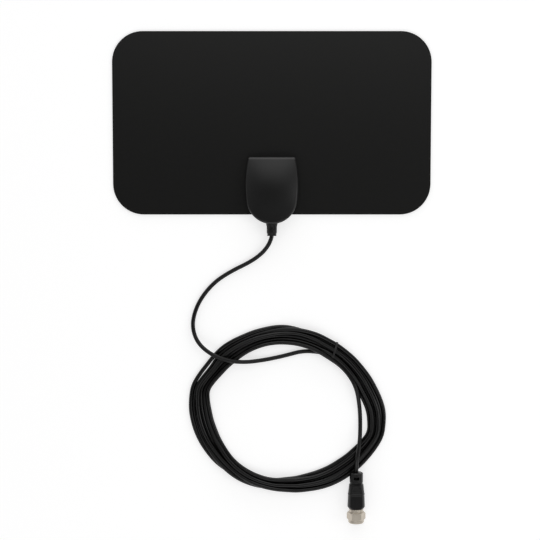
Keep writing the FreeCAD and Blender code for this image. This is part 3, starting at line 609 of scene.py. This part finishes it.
inner = bore + thread_mm * fade * np.clip(flank_steep * zigzag - flank_cut, 0, 1)
lip = np.full((3, 1), lip_mm) + 0 * turn
radius = np.concatenate([outer, outer[-1:] * mouth_share, inner, lip])
reach = np.concatenate([outside, [nut_end], inside, [lip_end, lip_middle, nut_start]])[:, None]
nut = skin("threaded_nut", round_plug(radius, reach, turn), nickel, "coupling_nut",
           "plug_nut", close_rows=True)

# %% [markdown]
# ## Hidden and half-hidden solids
# The solids inside the pod and the plug hardly show, but anyone who opens or turns the part sees them,
# so each gets the finish of its real material. They keep their CAD shape.

# %% Metals
# Turned brass is bright yellow, with faint darker patches of tarnish.
brass_patch_mm = 1.5
brass, tree, place = start_finish("turned_brass")
_, tone = mottled(tree, place, brass_patch_mm, linear("#b98f45"), linear("#d8b468"), detail=3.0)
end_finish(tree, {"Base Color": tone, "Metallic": 1.0, "Roughness": 0.28})
dress(brass, "feed_contacts", "plug_pin")

# Black zinc over steel is a dark, slightly gritty grey.
zinc_grit_mm = 0.5
zinc_steel, tree, place = start_finish("black_zinc_plated_steel")
_, tone = mottled(tree, place, zinc_grit_mm, linear("#3c3c3f"), linear("#59595c"), detail=3.0)
end_finish(tree, {"Base Color": tone, "Metallic": 1.0, "Roughness": 0.42})
dress(zinc_steel, "pod_screws")

# Rolled foil has faint lines along the rolling direction, here X, drawn 0.6 mm apart.
foil_line_mm = 0.6
foil, tree, place = start_finish("rolled_aluminium_foil")
rolled = add(tree, "ShaderNodeMapping", {"Vector": place, "Scale": (0.02, 1.0, 1.0)})
_, tone = mottled(tree, rolled.outputs["Vector"], foil_line_mm, linear("#c4c4c6"), linear("#dadadb"),
                  detail=2.0)
end_finish(tree, {"Base Color": tone, "Metallic": 1.0, "Roughness": 0.35})
dress(foil, "left_element", "right_element")

# The enamel on copper wire is a thin clear coat over the metal.
enamel_patch_mm = 0.8
copper, tree, place = start_finish("enamelled_copper_wire")
_, tone = mottled(tree, place, enamel_patch_mm, linear("#8a3f1d"), linear("#b4602f"), detail=2.0)
end_finish(tree, {"Base Color": tone, "Metallic": 1.0, "Roughness": 0.25, "Coat Weight": 0.6})
dress(copper, "balun_winding")

# %% Board, ferrite and insulator
# The solder mask shows the glass weave under it, about 0.9 mm a thread.
weave_mm = 0.9
board_laminate, tree, place = start_finish("glass_epoxy_laminate")
weave = add(tree, "ShaderNodeTexChecker",
            {"Vector": place, "Scale": per_metre(weave_mm), "Color1": linear("#17492b"),
             "Color2": linear("#1c5533")})
end_finish(tree, {"Base Color": weave.outputs["Color"], "Roughness": 0.3, "IOR": 1.55})
dress(board_laminate, "balun_board")

# Sintered ferrite is a dull grey ceramic with fine pores.
ferrite_pore_mm = 0.3
ferrite, tree, place = start_finish("sintered_ferrite")
_, tone = mottled(tree, place, ferrite_pore_mm, linear("#1d1d1f"), linear("#39393c"), detail=4.0)
end_finish(tree, {"Base Color": tone, "Roughness": 0.55, "IOR": 1.8})
dress(ferrite, "balun_core")

# Polyethylene is waxy and lets a little light in.
wax_cloud_mm = 2.0
insulator, tree, place = start_finish("moulded_white_polyethylene")
_, tone = mottled(tree, place, wax_cloud_mm, linear("#dcdad2"), linear("#eeece6"), detail=2.0)
end_finish(tree, {"Base Color": tone, "Roughness": 0.4, "IOR": 1.51, "Subsurface Weight": 0.2,
                  "Subsurface Scale": 1.0 * MM})
dress(insulator, "plug_insulator")

# %% [markdown]
# ## The cord's facts
# The cord's real length and thickness are printed.

print("lead declared:", cable_length_mm / 1000, "m long,", cable_mm, "mm thick")

# %% [markdown]
# ## Stage, light and camera
# The photograph is a product shot on white: large soft lights stand behind, in front of and to the right
# of the object, the walls round it are bright, and the ceiling over it is dark, which keeps black plastic
# black. The floor is pale paint. A little of its own glow, seen only by the camera and in mirrors, lifts
# it to white and leaves the soft shadows.

# %% Floor
floor_half, floor_z, floor_glow = 4.0, -0.3 * MM, 0.6
corners = np.array([(-1, -1, 0), (1, -1, 0), (1, 1, 0), (-1, 1, 0)]) * floor_half + (0, 0, floor_z)
floor_mesh = bpy.data.meshes.new("floor")
floor_mesh.from_pydata(corners.tolist(), [], [(0, 1, 2, 3)])
floor = bpy.data.objects.new("floor", floor_mesh)
bpy.context.scene.collection.objects.link(floor)
paint, tree, _ = start_finish("white_floor_paint")
ray = add(tree, "ShaderNodeLightPath")
seen = add(tree, "ShaderNodeMath", {0: ray.outputs["Is Camera Ray"], 1: ray.outputs["Is Glossy Ray"]},
           operation="MAXIMUM")
seen = add(tree, "ShaderNodeMath", {0: seen.outputs["Value"], 1: ray.outputs["Is Transmission Ray"]},
           operation="MAXIMUM")
glow = add(tree, "ShaderNodeMath", {0: seen.outputs["Value"], 1: floor_glow}, operation="MULTIPLY")
end_finish(tree, {"Base Color": linear("#cccccc"), "Roughness": 0.9, "Specular IOR Level": 0.0,
                  "Emission Color": (1.0, 1.0, 1.0, 1.0), "Emission Strength": glow.outputs["Value"]})
floor_mesh.materials.append(paint)
print("floor:", 2 * floor_half, "m wide")

# %% Room light
# Brightness of the room by height: 0 at the horizon and 1 straight overhead
room_levels = ((0.3, 0.42), (0.55, 0.55), (0.8, 0.38), (0.93, 0.05))
horizon_level, overhead_level = 0.32, 0.01
world = bpy.data.worlds.new("studio_room")
bpy.context.scene.world = world
world.use_nodes = True
tree = world.node_tree
tree.nodes.clear()
towards = add(tree, "ShaderNodeTexCoord").outputs["Generated"]
direction = add(tree, "ShaderNodeSeparateXYZ", {"Vector": towards})
ramp = add(tree, "ShaderNodeFloatCurve", {"Value": direction.outputs["Z"]})
levels = ramp.mapping.curves[0].points
levels[0].location = (0.0, horizon_level)
levels[1].location = (1.0, overhead_level)
for height, level in room_levels:
    levels.new(height, level)
ramp.mapping.update()
room = add(tree, "ShaderNodeBackground",
           {"Color": (1.0, 1.0, 1.0, 1.0), "Strength": ramp.outputs["Value"]})
add(tree, "ShaderNodeOutputWorld", {"Surface": room.outputs["Background"]})
print("room: brightest level", max(level for height, level in room_levels))


# %% Soft lights
def softbox(name, place, aim, size, level):
    """Rectangular lamp at a place, turned so that its face looks at the aim point. Its power is its
    brightness level x pi x its area."""
    lamp = bpy.data.lights.new(name, "AREA")
    lamp.shape = "RECTANGLE"
    lamp.size, lamp.size_y = size
    lamp.energy = level * math.pi * size[0] * size[1]
    box = bpy.data.objects.new(name, lamp)
    box.location = place
    away = box.location - Vector(aim)
    box.rotation_euler = away.to_track_quat("Z", "Y").to_euler()
    bpy.context.scene.collection.objects.link(box)
    print(name, "has", round(lamp.energy, 2), "W")


softbox("softbox_behind", (0.05, 0.62, 1.05), (0.0, -0.05, 0.0), (0.9, 0.95), 0.74)
softbox("softbox_front", (0.0, -0.9, 1.0), (0.0, -0.26, 0.0), (1.2, 0.7), 1.15)
softbox("softbox_right", (1.0, -0.2, 0.9), (0.0, -0.1, 0.0), (0.45, 0.8), 1.5)
softbox("wall_behind", (0.0, 1.3, 0.35), (0.0, -0.02, 0.0), (1.8, 0.5), 1.8)

# %% Camera
# Place and tilt come from the panel's four edges in the photograph.
lens_mm, sensor_mm, tilt_degrees = 88.83, 36.0, -4.6
camera_data = bpy.data.cameras.new("photo_camera")
camera_data.lens = lens_mm
camera_data.sensor_width = sensor_mm
camera = bpy.data.objects.new("photo_camera", camera_data)
camera.location = (-0.001213, -0.02635, 0.8971)
camera.rotation_euler = (math.radians(tilt_degrees), 0.0, 0.0)
bpy.context.scene.collection.objects.link(camera)
bpy.context.scene.camera = camera
bpy.context.scene.view_settings.view_transform = "Standard"
print("camera at", [round(x, 4) for x in camera.location])
